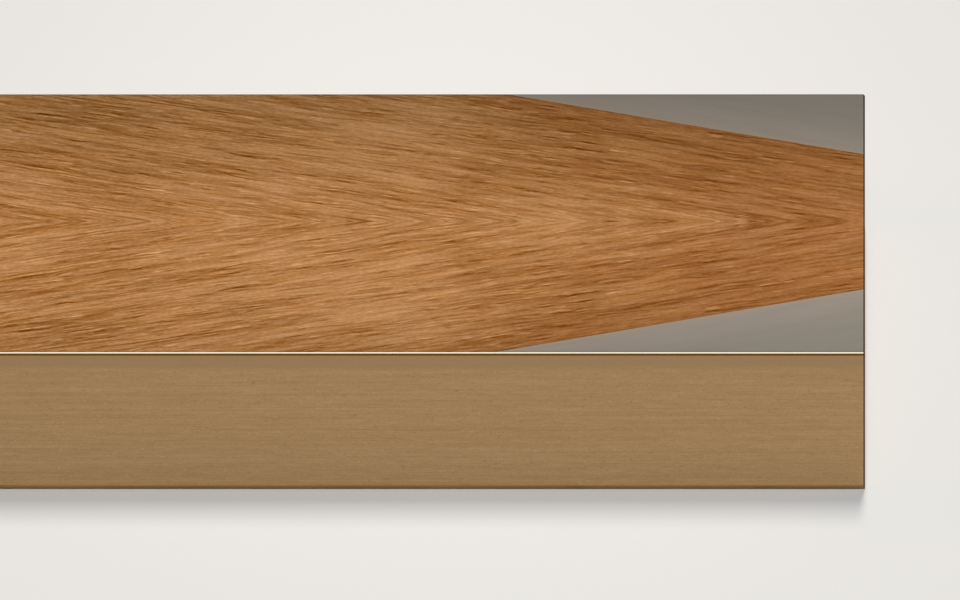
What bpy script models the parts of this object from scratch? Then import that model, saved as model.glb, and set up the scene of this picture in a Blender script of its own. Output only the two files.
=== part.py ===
"""Veneered MDF board.

A fibreboard core carries a balancing veneer on its back. Its face is two book-matched oak
leaves, which run out before the right end, and a grey leaf fills each corner that they leave.
Metres, +Z up, +X along the board towards the run-out end. The origin is the middle of the
underside.
"""

import math

import bmesh
import bpy

# Driving sizes
BOARD_LENGTH = 0.300
BOARD_WIDTH = 0.100
CORE_THICKNESS = 0.018
VENEER_THICKNESS = 0.00045
GLUE_LINE = 0.00005  # the film between a veneer and the core
LEAF_JOINT = 0.00004  # the hairline between two leaves of the face
GRAIN_ANGLE = math.radians(26.5)  # the oak's grain against the board's length
OAK_END_WIDTH = 0.052  # what the two oak leaves still cover at the run-out end
ARRIS = 0.0002  # chamfer that the sanding leaves on every outer edge

# Heights of the layers
CORE_BOTTOM = VENEER_THICKNESS + GLUE_LINE
CORE_TOP = CORE_BOTTOM + CORE_THICKNESS
FACE_BOTTOM = CORE_TOP + GLUE_LINE

# Half sizes of the board in plan
HALF_LENGTH = BOARD_LENGTH / 2
HALF_WIDTH = BOARD_WIDTH / 2

# Corners nearer than this are taken to be one, and faces that turn less to be one flat face
SAME_PLACE = 1e-7
FLAT = math.radians(0.1)

# Finishes: colour, roughness
OAK = ((0.41, 0.19, 0.065), 0.5)
GREY_LEAF = ((0.25, 0.22, 0.18), 0.45)
BACKING = ((0.17, 0.09, 0.035), 0.6)
FIBREBOARD = ((0.33, 0.195, 0.09), 0.85)


def clear_scene():
    for old in list(bpy.data.objects):
        bpy.data.objects.remove(old)


def new_collection(name):
    collection = bpy.data.collections.new(name)
    bpy.context.scene.collection.children.link(collection)
    return collection


def finish(name, colour, roughness):
    """A Principled material of one plain colour."""
    material = bpy.data.materials.new(name)
    material.use_nodes = True
    shader = material.node_tree.nodes["Principled BSDF"]
    shader.inputs["Base Color"].default_value = (*colour, 1.0)
    shader.inputs["Roughness"].default_value = roughness
    shader.inputs["Metallic"].default_value = 0.0
    material.diffuse_color = (*colour, 1.0)
    return material


def flat_outline(name, corners, thickness):
    """A closed flat outline, given by its corners in plan, as a slab centred on its own plane."""
    curve = bpy.data.curves.new(name, "CURVE")
    curve.dimensions = "2D"
    curve.fill_mode = "BOTH"
    curve.extrude = thickness / 2
    line = curve.splines.new("POLY")
    line.points.add(len(corners) - 1)
    for point, (x, y) in zip(line.points, corners):
        point.co = (x, y, 0.0, 1.0)
    line.use_cyclic_u = True
    return bpy.data.objects.new(name, curve)


def as_mesh(outline):
    """The evaluated outline as a mesh object of the same name, its caps welded on and each one face."""
    collection = bpy.context.scene.collection
    collection.objects.link(outline)
    evaluated = outline.evaluated_get(bpy.context.evaluated_depsgraph_get())
    mesh = bpy.data.meshes.new_from_object(evaluated)
    name = outline.name
    bpy.data.objects.remove(outline)
    shape = bmesh.new()
    shape.from_mesh(mesh)
    bmesh.ops.remove_doubles(shape, verts=shape.verts, dist=SAME_PLACE)
    bmesh.ops.dissolve_limit(shape, angle_limit=FLAT, verts=shape.verts, edges=shape.edges)
    bmesh.ops.recalc_face_normals(shape, faces=shape.faces)
    shape.to_mesh(mesh)
    shape.free()
    mesh.name = name
    return bpy.data.objects.new(name, mesh)


def on_outline(point):
    """Whether a corner lies on the board's end, and whether it lies on its side, seen in plan."""
    at_end = abs(abs(point.x) - HALF_LENGTH) < SAME_PLACE
    at_side = abs(abs(point.y) - HALF_WIDTH) < SAME_PLACE
    return at_end, at_side


def is_arris(edge, faces_up):
    """True for an edge that sanding eases: an upright corner of the board, or an edge of its outline.

    faces_up is 1 where the piece's upper edges are outer ones, -1 where its lower edges are,
    and 0 where neither are, as on the core between its veneers.
    """
    start, end = (vertex.co for vertex in edge.verts)
    start_at_end, start_at_side = on_outline(start)
    end_at_end, end_at_side = on_outline(end)
    if abs(start.z - end.z) > SAME_PLACE:
        return start_at_end and start_at_side
    along_outline = (start_at_end and end_at_end and start.x * end.x > 0) or (
        start_at_side and end_at_side and start.y * end.y > 0
    )
    return along_outline and start.z * faces_up > 0


def ease_arrises(piece, faces_up):
    """Chamfers the piece's outer edges by the width that sanding takes off them."""
    shape = bmesh.new()
    shape.from_mesh(piece.data)
    weight = shape.edges.layers.float.new("bevel_weight_edge")
    for edge in shape.edges:
        edge[weight] = 1.0 if is_arris(edge, faces_up) else 0.0
    shape.to_mesh(piece.data)
    shape.free()
    bevel = piece.modifiers.new("eased_arris", "BEVEL")
    bevel.limit_method = "WEIGHT"
    bevel.width = ARRIS
    bevel.segments = 1


def layer(name, corners, bottom, thickness, faces_up, material, collection):
    """One layer of the board: a slab of the outline, standing at its height, with its arrises eased."""
    piece = as_mesh(flat_outline(name, corners, thickness))
    piece.location.z = bottom + thickness / 2
    ease_arrises(piece, faces_up)
    piece.data.materials.clear()
    piece.data.materials.append(material)
    collection.objects.link(piece)
    return piece


def board_outline():
    return [
        (-HALF_LENGTH, -HALF_WIDTH),
        (HALF_LENGTH, -HALF_WIDTH),
        (HALF_LENGTH, HALF_WIDTH),
        (-HALF_LENGTH, HALF_WIDTH),
    ]


def run_out_joint(offset):
    """The slanting joint beside the rear oak leaf, moved by offset across its own line.

    It gives the joint's width from the middle line at the board's end, and how far back from
    that end it meets the board's side. The joint follows the oak's grain.
    """
    at_end = OAK_END_WIDTH / 2 + offset / math.cos(GRAIN_ANGLE)
    back_from_end = (HALF_WIDTH - at_end) / math.tan(GRAIN_ANGLE)
    return at_end, back_from_end


def mirrored(corners):
    """The outline folded over the middle line, still running anticlockwise."""
    return [(x, -y) for x, y in reversed(corners)]


def oak_leaf_outline():
    """The rear leaf: straight on the middle joint, cut along its grain where it runs out."""
    at_end, back_from_end = run_out_joint(-LEAF_JOINT / 2)
    return [
        (-HALF_LENGTH, LEAF_JOINT / 2),
        (HALF_LENGTH, LEAF_JOINT / 2),
        (HALF_LENGTH, at_end),
        (HALF_LENGTH - back_from_end, HALF_WIDTH),
        (-HALF_LENGTH, HALF_WIDTH),
    ]


def grey_corner_outline():
    """The rear grey leaf: the three-cornered place that the rear oak leaf leaves open."""
    at_end, back_from_end = run_out_joint(LEAF_JOINT / 2)
    return [
        (HALF_LENGTH, at_end),
        (HALF_LENGTH, HALF_WIDTH),
        (HALF_LENGTH - back_from_end, HALF_WIDTH),
    ]


def make_core(collection):
    material = finish("fibreboard", *FIBREBOARD)
    layer("mdf_core", board_outline(), CORE_BOTTOM, CORE_THICKNESS, 0, material, collection)


def make_back(collection):
    material = finish("backing_veneer", *BACKING)
    layer("back_veneer", board_outline(), 0.0, VENEER_THICKNESS, -1, material, collection)


def make_face(collection):
    """The face's four leaves, the front pair being the rear pair folded over the middle line."""
    oak = finish("oak_veneer", *OAK)
    grey = finish("grey_leaf", *GREY_LEAF)
    for side, fold in (("rear", list), ("front", mirrored)):
        for name, outline, material in (
            ("oak_leaf_", oak_leaf_outline(), oak),
            ("grey_corner_", grey_corner_outline(), grey),
        ):
            layer(name + side, fold(outline), FACE_BOTTOM, VENEER_THICKNESS, 1, material, collection)


def main():
    clear_scene()
    board = new_collection("veneered_mdf_board")
    make_core(board)
    make_back(board)
    make_face(board)


main()
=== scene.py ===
"""The looks of a veneered fibreboard panel.

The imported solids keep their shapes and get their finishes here: book-matched oak leaves, grey
corner leaves, the bare fibreboard edge and the backing veneer. The glue films between the
layers, which are too thin for solids, are modelled as surfaces. Metres, +Z up, +X along the
board towards the end where the oak runs out, and the camera looks along +Y.
"""

import math

import bpy
import numpy as np
from bpy.props import FloatProperty, FloatVectorProperty, PointerProperty
from mathutils import Matrix, Vector


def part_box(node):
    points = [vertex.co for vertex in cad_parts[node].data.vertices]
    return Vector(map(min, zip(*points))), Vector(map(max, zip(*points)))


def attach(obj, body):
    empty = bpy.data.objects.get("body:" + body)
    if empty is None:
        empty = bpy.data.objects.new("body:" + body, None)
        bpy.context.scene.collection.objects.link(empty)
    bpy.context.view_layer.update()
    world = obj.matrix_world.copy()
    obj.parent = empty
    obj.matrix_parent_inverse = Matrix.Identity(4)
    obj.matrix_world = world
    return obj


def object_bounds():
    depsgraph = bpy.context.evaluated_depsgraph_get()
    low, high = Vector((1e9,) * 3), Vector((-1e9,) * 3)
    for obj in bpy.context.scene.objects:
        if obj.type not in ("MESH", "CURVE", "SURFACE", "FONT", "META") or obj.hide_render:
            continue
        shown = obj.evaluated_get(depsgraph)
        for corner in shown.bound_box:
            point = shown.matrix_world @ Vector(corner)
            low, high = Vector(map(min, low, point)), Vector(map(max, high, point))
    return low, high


bl_info = {
    "name": "Veneered board looks",
    "version": (1, 0, 0),
    "blender": (4, 5, 0),
    "location": "View3D > Sidebar > Board",
    "description": "Finishes, glue films and a plain studio for a veneered fibreboard panel",
    "category": "Object",
}

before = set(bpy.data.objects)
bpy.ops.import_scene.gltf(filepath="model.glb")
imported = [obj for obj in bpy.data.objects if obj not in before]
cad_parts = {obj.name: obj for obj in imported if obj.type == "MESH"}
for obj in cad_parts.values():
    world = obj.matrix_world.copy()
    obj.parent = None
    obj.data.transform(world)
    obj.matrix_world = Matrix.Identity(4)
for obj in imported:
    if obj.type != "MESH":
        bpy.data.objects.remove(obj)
CAD_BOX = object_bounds()

MM = 0.001

# The board's sizes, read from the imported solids
BOARD_LOW, BOARD_HIGH = CAD_BOX
HALF_LENGTH = BOARD_HIGH.x
HALF_WIDTH = BOARD_HIGH.y
CORE_LOW, CORE_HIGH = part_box("mdf_core")
BACK_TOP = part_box("back_veneer")[1].z
FACE_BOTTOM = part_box("oak_leaf_rear")[0].z
FACE_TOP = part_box("oak_leaf_rear")[1].z
GREY_LOW, GREY_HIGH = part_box("grey_corner_rear")

# The oak's grain runs along the joint between the oak and the grey leaf
GRAIN_ANGLE = math.atan2(GREY_HIGH.y - GREY_LOW.y, GREY_HIGH.x - GREY_LOW.x)
JOINT_ACROSS = GREY_HIGH.x * math.sin(GRAIN_ANGLE) + GREY_LOW.y * math.cos(GRAIN_ANGLE)

# The leaves' joints: the gap between two leaves, and how far from the middle the slanting ones
# meet the board's end
GLUE_WIDTH = 2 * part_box("oak_leaf_rear")[0].y
JOINT_AT_END = GREY_LOW.y - GLUE_WIDTH / 2 / math.cos(GRAIN_ANGLE)

# The oak's streaks by name: length and width in millimetres, detail, roughness and seed
OAK_STREAKS = {
    "broad": (34, 6.0, 0.0, 0.5, 3.1),
    "soft": (20, 2.3, 1.0, 0.6, 11.7),
    "patch": (15, 5.0, 1.0, 0.5, 77.0),
    "tint": (9, 3.5, 1.0, 0.5, 91.0),
    "flake": (12, 1.2, 2.0, 0.55, 23.3),
    "hair": (3.8, 0.52, 1.0, 0.6, 41.9),
    "grit": (0.6, 0.42, 0.0, 0.5, 63.7),
}

FIGURE_LAYERS = ("broad", "soft", "patch", "tint")  # these follow the figure, the others the fibres

# How many levels each of the oak's streaks adds or takes away
OAK_LEVELS = {"broad": 20.0, "soft": 16.0, "flake": 15.0, "hair": 29.0, "grit": 20.0, "tint": 11.0}

# The oak's pores, each with a pale ray beside it: length and width in millimetres, the share of
# places that hold one, the seed, and the levels of the pore and of the ray
OAK_PORES = (
    (8.0, 0.52, 0.42, 5.0, -26.0, 23.0),
    (5.0, 0.48, 0.42, 25.0, -27.0, 26.0),
    (3.2, 0.48, 0.38, 35.0, -27.0, 28.0),
)
RAY_SHIFT = 0.64 * MM  # from a pore to its ray

# Short dark and pale flecks that stand alone: length, width, share, seed and levels
OAK_FLECKS = (
    (2.0, 0.50, 0.14, 9.0, -24.0),
    (2.6, 0.46, 0.16, 15.0, 30.0),
)

# The grey leaf's veils, given as the oak's streaks are, and their levels
GREY_VEILS = (
    ((14, 4.0, 1.0, 0.5, 2.0), 6.0),
    ((5, 0.5, 1.0, 0.5, 6.0), 5.0),
)

# The backing's streaks, given in the same way, and their shares of the way from dark to light
BACKING_STREAKS = (
    ((60, 3.0, 1.0, 0.5, 2.0), 0.4),
    ((14, 0.7, 1.0, 0.6, 8.0), 0.5),
)
BACKING_PORES = (5, 0.5, 0.4, 4.0)  # given as the oak's pores are

# The fibreboard's layers: a fibre's length and thickness in millimetres, the seed and the levels
FIBRE_LAYERS = (
    (70, 0.24, 1.0, 13.0),
    (9, 0.55, 30.0, 7.0),
    (0.42, 0.22, 70.0, 13.0),
    (1.1, 0.18, 110.0, 10.0),
    (3.2, 0.15, 190.0, 13.0),
)
FIBRE_FLECK = (0.38, 0.26, 150.0)  # length, thickness and seed of its dark and pale flecks
GLUE_CLOUD = (1.5, 1.5, 5.0)  # the same of the glue's clouds

# Where some finishes begin and where they are whole, and for some how strong they are at the two
MARGIN = (0.62 * MM, 0.34 * MM, 0.0, 0.36)  # the face's thin darker margin, from the board's side
ARRIS_HIGHLIGHT = (0.055 * MM, 0.070 * MM)  # a painted highlight on the long arrises, down from the face
DARK_EDGE = (0.176 * MM, 0.190 * MM)  # the face veneer's own edge, down from the face
DARK_END = (0.26 * MM, 0.17 * MM, 0.0, 0.95)  # the arris at the ends, from the board's end
UPRIGHT_ARRIS = (0.24 * MM, 0.17 * MM)  # the upright corners, from the end and from the side
LOW_ARRIS = (FACE_TOP - 0.21 * MM, FACE_TOP - 0.15 * MM)  # painted shade on the backing's arris, down from the face
OUTER_ARRIS = (0.20 * MM, 0.10 * MM)  # the same, from the board's side
DENSE_SKIN = (2.6 * MM, 1.75 * MM)  # the core's denser skin, down from the face
SKIN_CALM = 0.75  # the share of the fibres' contrast that is lost in it
SEAM_STAIN = (1.1 * MM, 0.15 * MM)  # the oak's tint by the slanting joint, from the joint
SEAM_LINE = (0.55 * MM, 0.2 * MM)  # its dark line there
SEAM_LEVELS = {"stain": -4.0, "line": -16.0, "hue": 13.0}  # what they add to the oak
GREY_PALER = (0.0, 14 * MM, 1.0, 0.0)  # the grey leaf's paler part, away from the joint
GREY_STAIN = (0.1 * MM, 1.4 * MM, -14.0, 0.0)  # its stain there
CALMER = (30 * MM, 140 * MM)  # calmer grain towards the run-out end, along the board
CALMER_SHARE = 0.88  # what is left of its contrast there
HEARTWOOD = (102 * MM, 146 * MM)  # darker heartwood there
PORE_DEPTH = (12.0, -14.0, 0.26, 1.15)  # the pores, from paler to darker streaks, in levels
HAIR_DEPTH = (-0.18, 0.18, 0.6, 1.35)  # the hair, over the patches

LEAF_NODES = ("oak_leaf_rear", "oak_leaf_front")
GREY_NODES = ("grey_corner_rear", "grey_corner_front")


def colour_property(name, description, default):
    return FloatVectorProperty(
        name=name, description=description, default=default, subtype="COLOR", size=3, min=0.0, max=1.0
    )


def share_property(name, description, default):
    return FloatProperty(
        name=name, description=description, default=default, subtype="FACTOR", min=0.0, max=4.0
    )


class StageSettings(bpy.types.PropertyGroup):
    """Floor, lamps and camera."""

    floor_colour: colour_property("Floor", "Colour of the floor round the board", (0.90, 0.872, 0.828))
    near_tint: colour_property(
        "Near tint", "Multiplies the floor beside the board, against its warm glow", (0.965, 0.985, 1.0)
    )
    # The contact tint is a painted contact shadow under the board.
    contact_shadow_tint: colour_property(
        "Contact tint", "Multiplies the floor right under the board's eased arris", (0.68, 0.47, 0.27)
    )
    sky: share_property("Sky", "Light that comes evenly from all sides", 0.10)
    key: share_property("Key", "Light of the lamp behind the board, on the floor", 0.535)
    key_colour: colour_property("Key colour", "Colour of the lamp behind the board", (1.0, 0.95, 0.89))
    fill: share_property("Fill", "Light of the lamp in front, on the floor", 0.47)
    fill_colour: colour_property("Fill colour", "Colour of the lamp for the floor", (0.85, 0.92, 1.0))
    front: share_property("Front", "Light of the lamp in front of the board, on the edge", 0.61)
    rear: share_property("Rear", "Light of the lamp behind the board, on its hidden sides", 0.45)
    strip: share_property("Strip", "Light of the strip lamp over the board, on the face", 0.33)
    lens: FloatProperty(
        name="Lens", description="Focal length in millimetres", default=1000.0, min=10.0, max=1050.0
    )
    camera_distance: FloatProperty(
        name="Camera distance", description="From the camera to the board's near edge", default=3.4625,
        subtype="DISTANCE", unit="LENGTH", min=0.0,
    )
    camera_height: FloatProperty(
        name="Camera height", description="Angle above the horizon", default=math.radians(20.05),
        subtype="ANGLE", unit="ROTATION",
    )


class FaceSettings(bpy.types.PropertyGroup):
    """The veneers of the face."""

    grain_angle: FloatProperty(
        name="Grain angle", description="The oak's figure against the board's length",
        default=GRAIN_ANGLE, subtype="ANGLE", unit="ROTATION",
    )
    fibre_angle: FloatProperty(
        name="Fibre angle", description="The oak's fine lines against the board's length",
        default=math.radians(22), subtype="ANGLE", unit="ROTATION",
    )
    oak_colour: colour_property("Oak", "Middle tone of the oak", (0.433, 0.1984, 0.0662))
    heart_tint: colour_property("Heartwood tint", "Multiplies the oak towards its end", (0.79, 0.69, 0.61))
    contrast: share_property("Oak contrast", "How strong the oak's light and dark streaks are", 1.05)
    grey_colour: colour_property("Grey leaf", "Colour of the corner leaves", (0.290, 0.257, 0.211))
    grey_light: colour_property("Grey leaf, by the joint", "Its paler part", (0.328, 0.277, 0.231))
    # The arris colour is a painted highlight along the face's arrises, not the wood's own colour.
    arris_highlight_colour: colour_property("Arris", "Bare wood on the sanded long arrises", (1.0, 0.93, 0.79))
    edge_colour: colour_property("Veneer edge", "The veneers' cut edges", (0.122, 0.060, 0.0185))
    # The end arrises are coloured as a dark line along the board's ends.
    end_colour: colour_property("End arris", "Burnished arrises at the ends", (0.065, 0.036, 0.018))


class PanelSettings(bpy.types.PropertyGroup):
    """The fibreboard core and the backing veneer."""

    fibre_colour: colour_property("Fibreboard", "Middle tone of the bare core", (0.329, 0.2034, 0.0975))
    skin_tint: colour_property("Skin tint", "Multiplies the denser skin under the face", (0.89, 0.90, 0.93))
    # The upright corners of the core and the backing are coloured darker.
    corner_colour: colour_property("Corner", "Burnished corners", (0.075, 0.055, 0.036))
    backing_dark: colour_property("Backing, dark", "Darkest grain of the backing", (0.13, 0.066, 0.022))
    backing_light: colour_property("Backing, light", "Lightest grain of the backing", (0.29, 0.158, 0.062))
    glue_dark: colour_property("Glue, dark", "Darkest glue", (0.10, 0.045, 0.013))
    glue_light: colour_property("Glue, light", "Lightest glue", (0.17, 0.085, 0.03))


class BoardSettings(bpy.types.PropertyGroup):
    """Everything that a user would change on the board."""

    stage: PointerProperty(type=StageSettings)
    face: PointerProperty(type=FaceSettings)
    panel: PointerProperty(type=PanelSettings)


def settings():
    return bpy.context.scene.veneered_board


def new_surface(name, points, faces):
    """A mesh object of the given points and faces, linked to the scene."""
    mesh = bpy.data.meshes.new(name)
    mesh.from_pydata(points.tolist(), [], faces)
    mesh.validate()
    surface = bpy.data.objects.new(name, mesh)
    bpy.context.scene.collection.objects.link(surface)
    return surface


def add(tree, kind, **choices):
    """Adds a node of one kind to a tree and sets its choices."""
    node = tree.nodes.new(kind)
    for name, value in choices.items():
        setattr(node, name, value)
    return node


def put(tree, socket, value):
    """Gives a socket a value, or links another node's output to it."""
    if isinstance(value, bpy.types.NodeSocket):
        tree.links.new(value, socket)
    else:
        socket.default_value = value


def new_material(name, roughness, specular):
    """A new node material, with its tree and its shader."""
    material = bpy.data.materials.new(name)
    material.use_nodes = True
    tree = material.node_tree
    shader = tree.nodes["Principled BSDF"]
    shader.inputs["Roughness"].default_value = roughness
    shader.inputs["Specular IOR Level"].default_value = specular
    return material, tree, shader


def dress(node_names, material):
    """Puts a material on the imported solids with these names."""
    for name in node_names:
        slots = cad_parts[name].material_slots
        for slot in slots:
            slot.material = material
        if not slots:
            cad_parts[name].data.materials.append(material)


# Node graphs


def math_node(tree, operation, first, second=0.0, third=0.0, clamp=False):
    node = add(tree, "ShaderNodeMath", operation=operation, use_clamp=clamp)
    for socket, value in zip(node.inputs, (first, second, third)):
        put(tree, socket, value)
    return node.outputs[0]


def split(tree, vector):
    """The three parts of a vector, by the names X, Y and Z."""
    node = add(tree, "ShaderNodeSeparateXYZ")
    put(tree, node.inputs[0], vector)
    return node.outputs


def vector_of(tree, **parts):
    """A vector of the parts that are given by the names X, Y and Z."""
    node = add(tree, "ShaderNodeCombineXYZ")
    for axis, value in parts.items():
        put(tree, node.inputs[axis], value)
    return node.outputs[0]


def vector_node(tree, operation, *values):
    """Arithmetic on vectors, which gives a vector, or a number for a length."""
    node = add(tree, "ShaderNodeVectorMath", operation=operation)
    for socket, value in zip(node.inputs, values):
        put(tree, socket, value)
    return node.outputs["Value" if operation == "LENGTH" else "Vector"]


def remap(tree, value, low, high, to_low=0.0, to_high=1.0):
    """A value that goes from to_low to to_high, smoothly, while the input goes from low to high."""
    node = add(tree, "ShaderNodeMapRange", interpolation_type="SMOOTHSTEP")
    for name, entry in (
        ("Value", value), ("From Min", low), ("From Max", high), ("To Min", to_low), ("To Max", to_high)
    ):
        put(tree, node.inputs[name], entry)
    return node.outputs["Result"]


def blend(tree, factor, first, second, kind="MIX"):
    """A mix of two colours."""
    node = add(tree, "ShaderNodeMix", data_type="RGBA", blend_type=kind)
    colours = [socket for socket in node.inputs if socket.type == "RGBA"]
    put(tree, node.inputs["Factor"], factor)
    for socket, value in zip(colours, (first, second)):
        put(tree, socket, value if isinstance(value, bpy.types.NodeSocket) else (*value, 1.0))
    return [socket for socket in node.outputs if socket.type == "RGBA"][0]


def new_group(name, inputs, outputs):
    """A shader node group with these (name, kind, default) inputs and (name, kind) outputs."""
    tree = bpy.data.node_groups.new(name, "ShaderNodeTree")
    for label, kind, default in inputs:
        socket = tree.interface.new_socket(label, in_out="INPUT", socket_type="NodeSocket" + kind)
        if default is not None:
            socket.default_value = default
    for label, kind in outputs:
        tree.interface.new_socket(label, in_out="OUTPUT", socket_type="NodeSocket" + kind)
    return tree, add(tree, "NodeGroupInput").outputs, add(tree, "NodeGroupOutput").inputs


def use_group(tree, group, **values):
    """Places a group in a tree; keyword names are the group's input names with underscores."""
    node = add(tree, "ShaderNodeGroup", node_tree=group)
    for name, value in values.items():
        put(tree, node.inputs[name.replace("_", " ")], value)
    return node.outputs


def object_position(tree):
    return add(tree, "ShaderNodeTexCoord").outputs["Object"]


def weigh(tree, tone, value, weight):
    """A tone with a value added to it, times a weight."""
    return math_node(tree, "MULTIPLY_ADD", value, weight, tone)


def streak_layer(tree, groups, grain, layer):
    """A layer of streaks from its length, width, detail, roughness and seed, about 0 on the whole."""
    length, width, detail, rough, seed = layer
    amount = use_group(
        tree, groups["streaks"], Grain=grain, Length=length * MM, Width=width * MM, Detail=detail,
        Roughness=rough, Seed=seed,
    )["Amount"]
    return math_node(tree, "SUBTRACT", amount, 0.5)


def dash_layer(tree, groups, grain, layer, shift=0.0):
    """A layer of dashes from its length, width, share and seed."""
    length, width, share, seed = layer
    return use_group(
        tree, groups["dashes"], Grain=grain, Length=length * MM, Width=width * MM, Share=share,
        Shift=shift, Seed=seed,
    )["Amount"]


def fibre_layer(tree, groups, position, layer):
    """A layer of pressed fibres from its length, thickness and seed."""
    length, thickness, seed = layer
    return use_group(
        tree, groups["fibres"], Position=position, Length=length * MM, Thickness=thickness * MM, Seed=seed
    )["Amount"]


def shaded(tree, groups, middle, levels, hue=0.0):
    """A middle colour moved by levels and by hue."""
    node = add(tree, "ShaderNodeGroup", node_tree=groups["shade"])
    put(tree, node.inputs["Middle"], middle if isinstance(middle, bpy.types.NodeSocket) else (*middle, 1.0))
    put(tree, node.inputs["Levels"], levels)
    put(tree, node.inputs["Hue"], hue)
    return node.outputs["Colour"]


def add_bump(tree, shader, height, strength, distance):
    """Roughens the surface by a height that changes over it, times a distance in metres."""
    bump = add(tree, "ShaderNodeBump")
    bump.inputs["Strength"].default_value = strength
    bump.inputs["Distance"].default_value = distance
    put(tree, bump.inputs["Height"], height)
    put(tree, shader.inputs["Normal"], bump.outputs[0])


def levelled(tree, value, reach):
    """A value spread to run from minus a half to a half while it goes over its reach both ways."""
    return remap(tree, value, -reach, reach, -0.5, 0.5)


def make_grain_frame():
    """Book-matched grain coordinates: the position with y folded over the middle joint, turned by
    the grain angle so that the first value runs along the grain and the second across it. A slow
    noise moves the second value a little, so that the grain wanders."""
    tree, given, made = new_group(
        "grain",
        (
            ("Position", "Vector", None),
            ("Angle", "Float", 0.0),
            ("Wander", "Float", 1.3 * MM),
            ("Wander Length", "Float", 16 * MM),
            ("Wander Width", "Float", 6 * MM),
        ),
        (("Grain", "Vector"),),
    )
    parts = split(tree, given["Position"])
    turned = add(tree, "ShaderNodeVectorRotate", rotation_type="Z_AXIS")
    folded = vector_of(tree, X=parts["X"], Y=math_node(tree, "ABSOLUTE", parts["Y"]))
    put(tree, turned.inputs["Vector"], folded)
    put(tree, turned.inputs["Angle"], given["Angle"])
    turned = split(tree, turned.outputs[0])
    noise = add(tree, "ShaderNodeTexNoise")
    noise.inputs["Scale"].default_value = 1.0
    noise.inputs["Detail"].default_value = 2.0
    lengthwise = math_node(tree, "DIVIDE", turned["X"], given["Wander Length"])
    sideways = math_node(tree, "DIVIDE", turned["Y"], given["Wander Width"])
    put(tree, noise.inputs["Vector"], vector_of(tree, X=lengthwise, Y=sideways))
    swing = math_node(tree, "SUBTRACT", noise.outputs["Fac"], 0.5)
    moved = math_node(tree, "MULTIPLY_ADD", swing, given["Wander"], turned["Y"])
    put(tree, made["Grain"], vector_of(tree, X=turned["X"], Y=moved))
    return tree


def make_streaks():
    """Long soft streaks: a flat noise of the grain coordinates divided by a streak's length and
    width. The seed takes another part of the same noise."""
    tree, given, made = new_group(
        "streaks",
        (
            ("Grain", "Vector", None),
            ("Length", "Float", 8 * MM),
            ("Width", "Float", 0.8 * MM),
            ("Detail", "Float", 1.0),
            ("Roughness", "Float", 0.5),
            ("Seed", "Float", 0.0),
        ),
        (("Amount", "Float"),),
    )
    parts = split(tree, given["Grain"])
    lengthwise = math_node(tree, "DIVIDE", parts["X"], given["Length"])
    sideways = math_node(tree, "DIVIDE", parts["Y"], given["Width"])
    noise = add(tree, "ShaderNodeTexNoise", noise_dimensions="2D")
    noise.inputs["Scale"].default_value = 1.0
    put(tree, noise.inputs["Vector"], vector_of(
        tree,
        X=math_node(tree, "MULTIPLY_ADD", given["Seed"], 7.3, lengthwise),
        Y=math_node(tree, "MULTIPLY_ADD", given["Seed"], 3.1, sideways),
    ))
    put(tree, noise.inputs["Detail"], given["Detail"])
    put(tree, noise.inputs["Roughness"], given["Roughness"])
    put(tree, made["Amount"], noise.outputs["Fac"])
    return tree


def make_dashes():
    """Short dashes with tapered ends. A stretched grid holds one scattered point in each cell, and
    in the given share of the cells the value is 1 near the point and 0 away from it. The seed takes
    another part of the same grid."""
    tree, given, made = new_group(
        "dashes",
        (
            ("Grain", "Vector", None),
            ("Length", "Float", 5 * MM),
            ("Width", "Float", 0.45 * MM),
            ("Share", "Float", 0.4),
            ("Shift", "Float", 0.0),
            ("Seed", "Float", 0.0),
        ),
        (("Amount", "Float"),),
    )
    parts = split(tree, given["Grain"])
    shifted = math_node(tree, "ADD", parts["Y"], given["Shift"])
    lengthwise = math_node(tree, "DIVIDE", parts["X"], given["Length"])
    sideways = math_node(tree, "DIVIDE", shifted, given["Width"])
    points = add(tree, "ShaderNodeTexVoronoi", feature="F1", voronoi_dimensions="2D")
    points.inputs["Scale"].default_value = 1.0
    put(tree, points.inputs["Vector"], vector_of(
        tree,
        X=math_node(tree, "MULTIPLY_ADD", given["Seed"], 5.7, lengthwise),
        Y=math_node(tree, "MULTIPLY_ADD", given["Seed"], 9.1, sideways),
    ))
    near = remap(tree, points.outputs["Distance"], 0.48, 0.22)
    chance = add(tree, "ShaderNodeSeparateColor")
    put(tree, chance.inputs[0], points.outputs["Color"])
    chosen = math_node(tree, "LESS_THAN", chance.outputs[0], given["Share"])
    strength = math_node(tree, "MULTIPLY", chosen, chance.outputs[1])
    put(tree, made["Amount"], math_node(tree, "MULTIPLY", near, strength))
    return tree


def make_fibres():
    """Level layers and specks of pressed fibre: a noise of the position, stretched by a fibre's
    length in plan and by its thickness in height."""
    tree, given, made = new_group(
        "fibres",
        (
            ("Position", "Vector", None),
            ("Length", "Float", 1 * MM),
            ("Thickness", "Float", 0.2 * MM),
            ("Seed", "Float", 0.0),
        ),
        (("Amount", "Float"),),
    )
    parts = split(tree, given["Position"])
    level = math_node(tree, "DIVIDE", parts["Z"], given["Thickness"])
    noise = add(tree, "ShaderNodeTexNoise")
    noise.inputs["Scale"].default_value = 1.0
    noise.inputs["Detail"].default_value = 1.0
    put(tree, noise.inputs["Vector"], vector_of(
        tree,
        X=math_node(tree, "DIVIDE", parts["X"], given["Length"]),
        Y=math_node(tree, "DIVIDE", parts["Y"], given["Length"]),
        Z=math_node(tree, "ADD", level, given["Seed"]),
    ))
    put(tree, made["Amount"], math_node(tree, "SUBTRACT", noise.outputs["Fac"], 0.5))
    return tree


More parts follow.
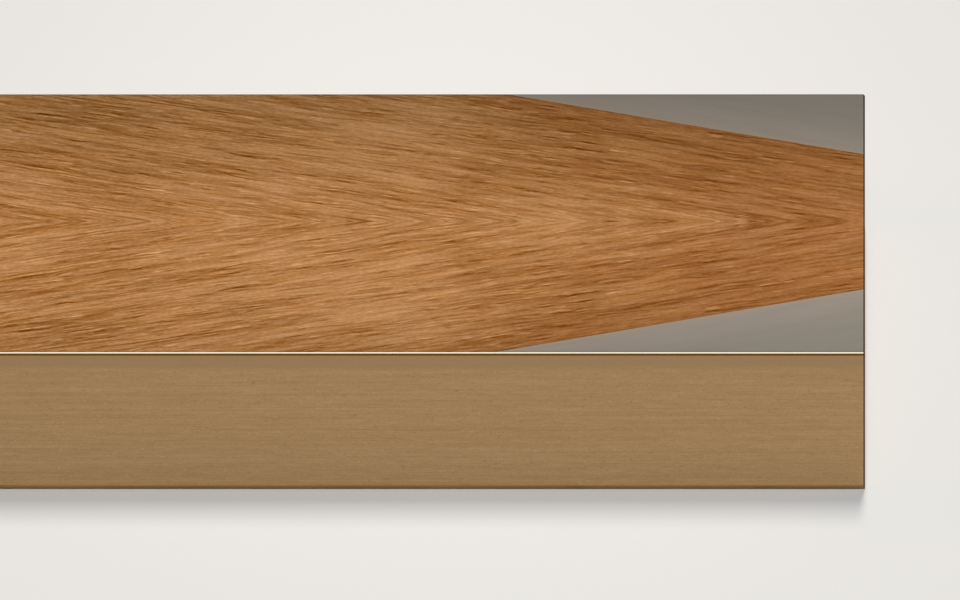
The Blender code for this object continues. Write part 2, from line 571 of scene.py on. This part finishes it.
def make_outline():
    """How far a place lies inside the board's ends, its sides and its face, and how far it lies
    from the slanting joint, on the oak's side of it, in metres."""
    tree, given, made = new_group(
        "outline",
        (("Position", "Vector", None),),
        (("From End", "Float"), ("From Side", "Float"), ("From Face", "Float"), ("From Joint", "Float")),
    )
    parts = split(tree, given["Position"])
    for name, axis, reach in (("From End", "X", HALF_LENGTH), ("From Side", "Y", HALF_WIDTH)):
        far = math_node(tree, "ABSOLUTE", parts[axis])
        put(tree, made[name], math_node(tree, "SUBTRACT", reach, far))
    put(tree, made["From Face"], math_node(tree, "SUBTRACT", FACE_TOP, parts["Z"]))
    outwards = math_node(tree, "ABSOLUTE", parts["Y"])
    across = math_node(tree, "MULTIPLY", outwards, math.cos(GRAIN_ANGLE))
    across = math_node(tree, "MULTIPLY_ADD", parts["X"], math.sin(GRAIN_ANGLE), across)
    put(tree, made["From Joint"], math_node(tree, "SUBTRACT", JOINT_ACROSS, across))
    return tree


def make_shade():
    """A colour made lighter or darker by equal steps, and turned towards olive or orange. The
    middle colour is taken to the display's values, moved by so many of its 255 levels in all
    three parts, moved by the hue's levels from red towards blue, and taken back."""
    tree, given, made = new_group(
        "shade",
        (("Middle", "Color", None), ("Levels", "Float", 0.0), ("Hue", "Float", 0.0)),
        (("Colour", "Color"),),
    )

    def moved(value, step, start):
        return vector_node(tree, "MULTIPLY_ADD", value, [part / 255 for part in step], start)

    shown = add(tree, "ShaderNodeGamma")
    put(tree, shown.inputs["Color"], given["Middle"])
    shown.inputs["Gamma"].default_value = 1 / 2.2
    colour = moved(given["Levels"], (1.0, 1.0, 1.0), shown.outputs[0])
    colour = moved(given["Hue"], (-0.65, -0.04, 0.76), colour)
    back = add(tree, "ShaderNodeGamma")
    put(tree, back.inputs["Color"], vector_node(tree, "MAXIMUM", colour, (0.02, 0.02, 0.02)))
    back.inputs["Gamma"].default_value = 2.2
    put(tree, made["Colour"], back.outputs[0])
    return tree


# The face


def edge_lines(tree, colour, outline):
    """Adds a thin darker margin by the sides, a painted highlight on the long arrises, the veneer's
    own dark edge and the dark end arris to a face leaf."""
    look = settings().face
    side = outline["From Side"]
    end = outline["From End"]
    down = outline["From Face"]
    colour = blend(tree, remap(tree, side, *MARGIN), colour, look.edge_colour)
    # A painted highlight on the arrises just below the face
    colour = blend(tree, remap(tree, down, *ARRIS_HIGHLIGHT), colour, look.arris_highlight_colour)
    colour = blend(tree, remap(tree, down, *DARK_EDGE), colour, look.edge_colour)
    return blend(tree, remap(tree, end, *DARK_END), colour, look.end_colour)


def pores_and_rays(tree, groups, fibre, depth, tone):
    """Adds the pores with their pale rays, stronger in the darker streaks, and the lone flecks."""
    for *layer, pore, ray in OAK_PORES:
        for shift, levels in ((0.0, pore), (RAY_SHIFT, ray)):
            lines = dash_layer(tree, groups, fibre, layer, shift)
            tone = weigh(tree, tone, math_node(tree, "MULTIPLY", lines, depth), levels)
    for *layer, levels in OAK_FLECKS:
        tone = weigh(tree, tone, dash_layer(tree, groups, fibre, layer), levels)
    return tone


def heartwood(tree, position, patch):
    """A mask that grows towards the run-out end, sooner at the board's sides than in its middle,
    with an uneven border."""
    parts = split(tree, position)
    outwards = math_node(tree, "ABSOLUTE", parts["Y"])
    ring = math_node(tree, "MULTIPLY_ADD", outwards, 0.5, parts["X"])
    ring = math_node(tree, "MULTIPLY_ADD", patch, 60 * MM, ring)
    return remap(tree, ring, *HEARTWOOD)


def make_oak(groups):
    """Oiled oak. Its tone, in levels, is a sum of streaks, pores and rays, with a dark line along
    the slanting joint. Towards the run-out end it is darker and redder."""
    look = settings().face
    material, tree, shader = new_material("oak_veneer", 0.7, 0.0)
    position = object_position(tree)
    outline = use_group(tree, groups["outline"], Position=position)
    figure = use_group(tree, groups["grain"], Position=position, Angle=look.grain_angle)["Grain"]
    fibre = use_group(
        tree, groups["grain"], Position=position, Angle=look.fibre_angle, Wander=1.7 * MM,
        Wander_Length=7 * MM, Wander_Width=2.8 * MM,
    )["Grain"]
    layers = {
        name: streak_layer(tree, groups, figure if name in FIGURE_LAYERS else fibre, layer)
        for name, layer in OAK_STREAKS.items()
    }
    tone = weigh(tree, 0.0, layers["broad"], OAK_LEVELS["broad"])
    for name, reach in (("soft", 0.2), ("flake", 0.13)):
        tone = weigh(tree, tone, levelled(tree, layers[name], reach), OAK_LEVELS[name])
    pore_depth = remap(tree, tone, *PORE_DEPTH)
    hair_depth = remap(tree, layers["patch"], *HAIR_DEPTH)
    hair = math_node(tree, "MULTIPLY", layers["hair"], hair_depth)
    tone = weigh(tree, tone, hair, OAK_LEVELS["hair"])
    tone = weigh(tree, tone, layers["grit"], OAK_LEVELS["grit"])
    tone = pores_and_rays(tree, groups, fibre, pore_depth, tone)
    calm = remap(tree, split(tree, position)["X"], *CALMER, look.contrast, CALMER_SHARE * look.contrast)
    tone = math_node(tree, "MULTIPLY", tone, calm)
    seam = remap(tree, outline["From Joint"], *SEAM_STAIN)
    tone = weigh(tree, tone, seam, SEAM_LEVELS["stain"])
    tone = weigh(tree, tone, remap(tree, outline["From Joint"], *SEAM_LINE), SEAM_LEVELS["line"])
    hue = weigh(tree, 0.0, layers["tint"], OAK_LEVELS["tint"])
    hue = weigh(tree, hue, seam, SEAM_LEVELS["hue"])
    colour = shaded(tree, groups, look.oak_colour, tone, hue)
    heart = heartwood(tree, position, layers["patch"])
    colour = blend(tree, heart, colour, look.heart_tint, "MULTIPLY")
    put(tree, shader.inputs["Base Color"], edge_lines(tree, colour, outline))
    add_bump(tree, shader, layers["hair"], 0.25, 0.03 * MM)
    return material


def make_grey(groups):
    """The grey leaf: two fine veils along the grain, paler and a little stained by the joint."""
    look = settings().face
    material, tree, shader = new_material("grey_leaf", 0.7, 0.0)
    position = object_position(tree)
    outline = use_group(tree, groups["outline"], Position=position)
    grain = use_group(tree, groups["grain"], Position=position, Angle=look.grain_angle)["Grain"]
    tone = 0.0
    for layer, levels in GREY_VEILS:
        tone = weigh(tree, tone, streak_layer(tree, groups, grain, layer), levels)
    beyond = math_node(tree, "MULTIPLY", outline["From Joint"], -1.0)
    paler = remap(tree, beyond, *GREY_PALER)
    stain = remap(tree, beyond, *GREY_STAIN)
    colour = blend(tree, paler, look.grey_colour, look.grey_light)
    colour = shaded(tree, groups, colour, tone, stain)
    put(tree, shader.inputs["Base Color"], edge_lines(tree, colour, outline))
    return material


def upright_corner(tree, outline):
    """A mask of the sanded upright corners, where an end and a side meet."""
    end = remap(tree, outline["From End"], *UPRIGHT_ARRIS)
    side = remap(tree, outline["From Side"], *UPRIGHT_ARRIS)
    return math_node(tree, "MULTIPLY", end, side)


def make_fibreboard(groups):
    """Sawn and sanded fibreboard: level layers of fibres with flecks, calmer in its denser skin."""
    look = settings().panel
    material, tree, shader = new_material("fibreboard", 0.85, 0.02)
    position = object_position(tree)
    outline = use_group(tree, groups["outline"], Position=position)
    tone = 0.0
    for *layer, levels in FIBRE_LAYERS:
        tone = weigh(tree, tone, fibre_layer(tree, groups, position, layer), levels)
    fleck = fibre_layer(tree, groups, position, FIBRE_FLECK)
    for low, high, levels in ((0.15, 0.28, -11.0), (-0.15, -0.28, 10.0)):
        tone = weigh(tree, tone, remap(tree, fleck, low, high), levels)
    skin = remap(tree, outline["From Face"], *DENSE_SKIN)
    calm = math_node(tree, "MULTIPLY_ADD", skin, -SKIN_CALM, 1.0)
    tone = math_node(tree, "MULTIPLY", tone, calm)
    colour = shaded(tree, groups, look.fibre_colour, tone)
    colour = blend(tree, skin, colour, look.skin_tint, "MULTIPLY")
    colour = blend(tree, upright_corner(tree, outline), colour, look.corner_colour)
    put(tree, shader.inputs["Base Color"], colour)
    add_bump(tree, shader, tone, 0.2, 0.0015 * MM)
    return material


def make_backing(groups):
    """The dark balancing veneer: long streaks and pores, a painted shade on its lowest arris and darker
    upright corners.
    """
    look = settings().panel
    material, tree, shader = new_material("backing_veneer", 0.6, 0.08)
    position = object_position(tree)
    outline = use_group(tree, groups["outline"], Position=position)
    tone = 0.5
    for layer, share in BACKING_STREAKS:
        tone = weigh(tree, tone, streak_layer(tree, groups, position, layer), share)
    tone = weigh(tree, tone, dash_layer(tree, groups, position, BACKING_PORES), -0.3)
    colour = blend(tree, tone, look.backing_dark, look.backing_light)
    # Painted shade on the lowest long arris, which faces the floor
    lowest = remap(tree, outline["From Face"], *LOW_ARRIS)
    outermost = remap(tree, outline["From Side"], *OUTER_ARRIS)
    arris = math_node(tree, "MULTIPLY", lowest, outermost)
    colour = blend(tree, math_node(tree, "MULTIPLY", arris, 0.8), colour, look.glue_dark)
    corner = upright_corner(tree, outline)
    colour = blend(tree, math_node(tree, "MULTIPLY", corner, 0.7), colour, look.corner_colour)
    put(tree, shader.inputs["Base Color"], colour)
    return material


def make_glue(groups):
    """Dried brown glue, a little cloudy."""
    look = settings().panel
    material, tree, shader = new_material("glue", 0.45, 0.2)
    position = object_position(tree)
    cloud = fibre_layer(tree, groups, position, GLUE_CLOUD)
    colour = blend(tree, remap(tree, cloud, -0.2, 0.2), look.glue_dark, look.glue_light)
    put(tree, shader.inputs["Base Color"], colour)
    return material


def make_groups():
    """The shader effects that the materials share, each built once."""
    kit = {
        "grain": make_grain_frame, "streaks": make_streaks, "dashes": make_dashes,
        "fibres": make_fibres, "outline": make_outline, "shade": make_shade,
    }
    return {name: bpy.data.node_groups.get(name) or make() for name, make in kit.items()}


# The glue

GLUE_SETBACK = 0.03 * MM  # how far the glue stays inside the outline
GLUE_SINK = 0.02 * MM  # how far the glue between the leaves stays under the face
GLUE_AIR = 0.002 * MM  # between the glue and the layers, so that no two faces share a plane
CORNER_CUT = 0.2 * MM  # the sanded upright corners


def closed_stack(rings):
    """Points and faces of a closed shape through rings of equally many points, capped at both ends.

    The rings run anticlockwise seen from the side that the last ring faces.
    """
    count = len(rings[0])
    points = np.concatenate(rings)
    here = np.arange(count)
    following = (here + 1) % count
    faces = []
    for level in range(len(rings) - 1):
        low = level * count
        high = low + count
        faces += np.stack([low + here, low + following, high + following, high + here], axis=1).tolist()
    faces.append(here[::-1].tolist())
    faces.append((here + (len(rings) - 1) * count).tolist())
    return points, faces


def film(bottom, top):
    """A film of the board's outline: eight corners in plan, set back from the board's sides and
    cut at its corners, at two heights."""
    x = HALF_LENGTH - GLUE_SETBACK
    y = HALF_WIDTH - GLUE_SETBACK
    cut = CORNER_CUT
    plan = np.array([
        (x, y - cut), (x - cut, y), (cut - x, y), (-x, y - cut),
        (-x, cut - y), (cut - x, -y), (x - cut, -y), (x, cut - y),
    ])
    rings = [np.column_stack([plan, np.full(len(plan), height)]) for height in (bottom, top)]
    return closed_stack(rings)


def joint_ridge(start, end, width, bottom, top, eases):
    """The glue that stands in the joint between two leaves: an upright profile along the joint,
    its upper corners cut where the leaves' own arrises are, on both sides of it."""
    start, end = np.array(start), np.array(end)
    length = np.linalg.norm(end - start)
    ahead = (end - start) / length
    across = np.array([-ahead[1], ahead[0]])
    drop = CORNER_CUT + GLUE_AIR
    first, last = eases
    profile = np.array([
        (0.0, bottom), (length, bottom), (length, top - drop), (length - last, top),
        (first, top), (0.0, top - drop),
    ])
    rings = []
    for side in (width / 2, -width / 2):
        plan = start + profile[:, :1] * ahead + side * across
        rings.append(np.column_stack([plan, profile[:, 1]]))
    return closed_stack(rings)


def joined(shapes):
    """One list of points and faces out of several closed shapes."""
    points, faces, base = [], [], 0
    for shape_points, shape_faces in shapes:
        points.append(shape_points)
        faces += [[base + corner for corner in face] for face in shape_faces]
        base += len(shape_points)
    return np.concatenate(points), faces


def make_joint_glue():
    """The glue in the middle joint and in the slanting joints beside the grey leaves."""
    width = GLUE_WIDTH - 2 * GLUE_AIR
    low = FACE_BOTTOM + GLUE_AIR
    high = FACE_TOP - GLUE_SINK
    x = HALF_LENGTH - GLUE_SETBACK
    y = HALF_WIDTH - GLUE_SETBACK
    at_end = JOINT_AT_END + GLUE_SETBACK * math.tan(GRAIN_ANGLE)
    at_side = HALF_LENGTH - (y - JOINT_AT_END) / math.tan(GRAIN_ANGLE)
    end_ease = CORNER_CUT / math.cos(GRAIN_ANGLE)
    side_ease = CORNER_CUT / math.sin(GRAIN_ANGLE)
    shapes = [joint_ridge((-x, 0.0), (x, 0.0), width, low, high, (CORNER_CUT, CORNER_CUT))]
    for fold in (1, -1):
        shapes.append(
            joint_ridge((at_side, fold * y), (x, fold * at_end), width, low, high, (side_ease, end_ease))
        )
    return joined(shapes)


class BOARD_OT_glue(bpy.types.Operator):
    """Fills the glue lines under the face, over the back and between the leaves"""

    bl_idname = "board.glue"
    bl_label = "Fill the glue lines"

    def execute(self, context):
        material = make_glue(make_groups())
        for name, shape in (
            ("face_glue_film", film(CORE_HIGH.z + GLUE_AIR, FACE_BOTTOM - GLUE_AIR)),
            ("back_glue_film", film(BACK_TOP + GLUE_AIR, CORE_LOW.z - GLUE_AIR)),
            ("joint_glue", make_joint_glue()),
        ):
            piece = new_surface(name, *shape)
            piece.data.materials.append(material)
            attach(piece, "root")
            lamp_group("board_pieces").objects.link(piece)
        return {"FINISHED"}


class BOARD_OT_face(bpy.types.Operator):
    """Finishes the oak leaves and the grey corner leaves"""

    bl_idname = "board.face"
    bl_label = "Finish the face"

    def execute(self, context):
        groups = make_groups()
        dress(LEAF_NODES, make_oak(groups))
        dress(GREY_NODES, make_grey(groups))
        return {"FINISHED"}


class BOARD_OT_panel(bpy.types.Operator):
    """Finishes the fibreboard core and the backing veneer"""

    bl_idname = "board.panel"
    bl_label = "Finish the core and back"

    def execute(self, context):
        groups = make_groups()
        dress(("mdf_core",), make_fibreboard(groups))
        dress(("back_veneer",), make_backing(groups))
        return {"FINISHED"}


# The stage

FLOOR_REACH = 40.0
POOL_RIM = 0.84  # how pale the floor stays outside the painted pool of light
POOL_MIDDLE = Vector((0.090, 0.100, 0.0))
POOL_REACH = 0.16  # from the painted light pool's middle to its rim along the board, and twice as far across it
NEAR_REACH = 0.03  # how far from the board the near tint ends
CONTACT_SHADOW_REACH = 0.08 * MM  # how far from the board the painted contact shadow ends

# What the lamps look at, and the strip lamp's height over the face, its length and width, and
# its power for a full share
BOARD_MIDDLE = Vector((0.09, 0.0, FACE_TOP))
BEYOND_END = Vector((HALF_LENGTH + 0.05, 0.0, FACE_TOP))
STRIP_TARGET = Vector((0.09, -0.013, FACE_TOP))
STRIP_HEIGHT = 0.07
STRIP_SIZE = (0.5, 0.03)
STRIP_WATTS = 0.39

SENSOR_WIDTH = 36.0
# The point that the middle of the picture shows, in the plane of the board's front edge
AIM = Vector((0.10002, BOARD_LOW.y, 0.02621))
CAMERA_YAW = math.radians(0.8795)  # lets the square end stand upright in the picture
CAMERA_ROLL = math.radians(-0.302)  # levels the long edges again


def seen_directly(tree):
    """1 for rays from the camera, a mirror or a glass, and 0 for those that only carry light."""
    path = add(tree, "ShaderNodeLightPath")
    total = path.outputs["Is Camera Ray"]
    for name in ("Is Glossy Ray", "Is Transmission Ray"):
        total = math_node(tree, "ADD", total, path.outputs[name], clamp=True)
    return total


def make_floor(stage):
    """The floor, with a painted pool of light round the board, a tint beside it against the board's
    warm bounce light, and a painted contact shadow under it.
    """
    corners = np.array([(-1, -1, 0), (1, -1, 0), (1, 1, 0), (-1, 1, 0)], float) * FLOOR_REACH
    floor = new_surface("floor", corners, [(0, 1, 2, 3)])
    material, tree, shader = new_material("floor", 0.9, 0.0)
    stretch = Vector((1.0, 0.5, 0.0))
    reach = vector_node(tree, "MULTIPLY_ADD", object_position(tree), stretch, -POOL_MIDDLE * stretch)
    # A painted pool of light: the floor is paler round the board
    pool = remap(tree, vector_node(tree, "LENGTH", reach), 0.0, POOL_REACH, 1.0, 0.0)
    far = [POOL_RIM * c for c in stage.floor_colour]
    tone = blend(tree, pool, far, stage.floor_colour)
    outside = object_position(tree)
    for operation, *value in (("ABSOLUTE",), ("SUBTRACT", BOARD_HIGH), ("MAXIMUM", Vector())):
        outside = vector_node(tree, operation, outside, *value)
    away = vector_node(tree, "LENGTH", outside)
    # A cool tint against the board's warm bounce light, then the painted contact shadow
    for reach, tint in ((NEAR_REACH, stage.near_tint), (CONTACT_SHADOW_REACH, stage.contact_shadow_tint)):
        tone = blend(tree, remap(tree, away, 0.0, reach, 1.0, 0.0), tone, tint, "MULTIPLY")
    put(tree, shader.inputs["Base Color"], tone)
    floor.data.materials.append(material)
    return floor


def make_sky(stage):
    """A world that lights everything evenly and shows the floor's colour where it is seen itself."""
    world = bpy.data.worlds.new("studio")
    bpy.context.scene.world = world
    world.use_nodes = True
    tree = world.node_tree
    background = tree.nodes["Background"]
    mix = add(tree, "ShaderNodeMix", data_type="RGBA")
    put(tree, mix.inputs["Factor"], seen_directly(tree))
    put(tree, mix.inputs["A"], (stage.sky, stage.sky, stage.sky, 1.0))
    put(tree, mix.inputs["B"], (*[POOL_RIM * c for c in stage.floor_colour], 1.0))
    put(tree, background.inputs["Color"], mix.outputs["Result"])
    background.inputs["Strength"].default_value = 1.0


def lamp_power(share, distance, slope):
    """Watts of a lamp that gives a surface this share of full light, at this distance and slope."""
    return share * math.pi ** 2 * distance ** 2 / math.cos(slope)


def looking_back(heading, height):
    """The way from a target to what looks at it, from a heading and a height above the horizon."""
    return Vector((
        math.sin(heading) * math.cos(height),
        -math.cos(heading) * math.cos(height),
        math.sin(height),
    ))


def make_lamp(name, target, heading, height, distance, size, power):
    """A rectangular lamp that looks at a target from a heading and a height above the horizon."""
    lamp = bpy.data.lights.new(name, "AREA")
    lamp.shape = "RECTANGLE"
    lamp.size, lamp.size_y = size
    lamp.energy = power
    away = looking_back(heading, height)
    holder = bpy.data.objects.new(name, lamp)
    holder.location = target + away * distance
    holder.rotation_euler = away.to_track_quat("Z", "Y").to_euler()
    holder.visible_camera = False
    bpy.context.scene.collection.objects.link(holder)
    return holder


def lamp_group(name):
    """The collection of this name, out of which a lamp's receivers are read."""
    return bpy.data.collections.get(name) or bpy.data.collections.new(name)


def make_lamps(stage, floor):
    """Two lamps light the floor alone. Three light the board alone: a strip right over its face, and
    one in front and one behind for its upright sides. Everything casts its shadow in all of them."""
    lamps = {}
    for name, share, target, heading, height, distance, size, upright in (
        ("key", stage.key, BEYOND_END, 180, 66, 2.4, (0.2, 1.1), False),
        ("front", stage.front, BOARD_MIDDLE, 14, 27, 1.6, (0.6, 0.6), True),
        ("rear", stage.rear, BOARD_MIDDLE, 215, 5, 1.6, (0.6, 0.25), True),
        ("fill", stage.fill, BOARD_MIDDLE, 14, 42, 1.6, (0.6, 0.6), False),
    ):
        height = math.radians(height)
        power = lamp_power(share, distance, height if upright else math.pi / 2 - height)
        lamps[name] = make_lamp(
            name + "_lamp", target, math.radians(heading), height, distance, size, power
        )
    lamps["strip"] = make_lamp(
        "strip_lamp", STRIP_TARGET, 0.0, math.pi / 2, STRIP_HEIGHT, STRIP_SIZE, stage.strip * STRIP_WATTS
    )
    lamps["key"].data.color = stage.key_colour
    lamps["fill"].data.color = stage.fill_colour
    pieces = lamp_group("board_pieces")
    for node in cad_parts.values():
        pieces.objects.link(node)
    floor_only = lamp_group("floor_only")
    floor_only.objects.link(floor)
    for receivers, names in ((pieces, ("strip", "front", "rear")), (floor_only, ("key", "fill"))):
        for name in names:
            lamps[name].light_linking.receiver_collection = receivers


def make_camera(stage):
    """A long lens, turned so that the board's square end and its long edges line up with the picture."""
    back = looking_back(CAMERA_YAW, stage.camera_height)
    level = Vector((math.cos(CAMERA_YAW), math.sin(CAMERA_YAW), 0.0))
    upright = back.cross(level)
    right = level * math.cos(CAMERA_ROLL) + upright * math.sin(CAMERA_ROLL)
    up = upright * math.cos(CAMERA_ROLL) - level * math.sin(CAMERA_ROLL)
    data = bpy.data.cameras.new("camera")
    data.sensor_width = SENSOR_WIDTH
    data.lens = stage.lens
    data.clip_end = 100.0
    camera = bpy.data.objects.new("camera", data)
    turn = Matrix((right, up, back)).transposed().to_4x4()
    camera.matrix_world = Matrix.Translation(AIM + back * stage.camera_distance) @ turn
    bpy.context.scene.collection.objects.link(camera)
    bpy.context.scene.camera = camera


class BOARD_OT_stage(bpy.types.Operator):
    """Lays the floor, sets the lamps and frames the board's right-hand end"""

    bl_idname = "board.stage"
    bl_label = "Set the stage"

    def execute(self, context):
        stage = settings().stage
        floor = make_floor(stage)
        make_sky(stage)
        make_lamps(stage, floor)
        make_camera(stage)
        context.scene.view_settings.view_transform = "Standard"
        return {"FINISHED"}


class BOARD_PT_looks(bpy.types.Panel):
    """The board's finishes and stage"""

    bl_label = "Veneered board"
    bl_idname = "BOARD_PT_looks"
    bl_space_type = "VIEW_3D"
    bl_region_type = "UI"
    bl_category = "Board"

    def draw(self, context):
        for operator in OPERATORS:
            self.layout.operator(operator.bl_idname)


OPERATORS = (BOARD_OT_glue, BOARD_OT_face, BOARD_OT_panel, BOARD_OT_stage)
CLASSES = (StageSettings, FaceSettings, PanelSettings, BoardSettings, *OPERATORS, BOARD_PT_looks)


def register():
    for cls in CLASSES:
        bpy.utils.register_class(cls)
    bpy.types.Scene.veneered_board = PointerProperty(type=BoardSettings)


def unregister():
    del bpy.types.Scene.veneered_board
    for cls in reversed(CLASSES):
        bpy.utils.unregister_class(cls)


def main():
    register()
    bpy.ops.board.glue()
    bpy.ops.board.face()
    bpy.ops.board.panel()
    bpy.ops.board.stage()


if __name__ == "__main__":
    main()
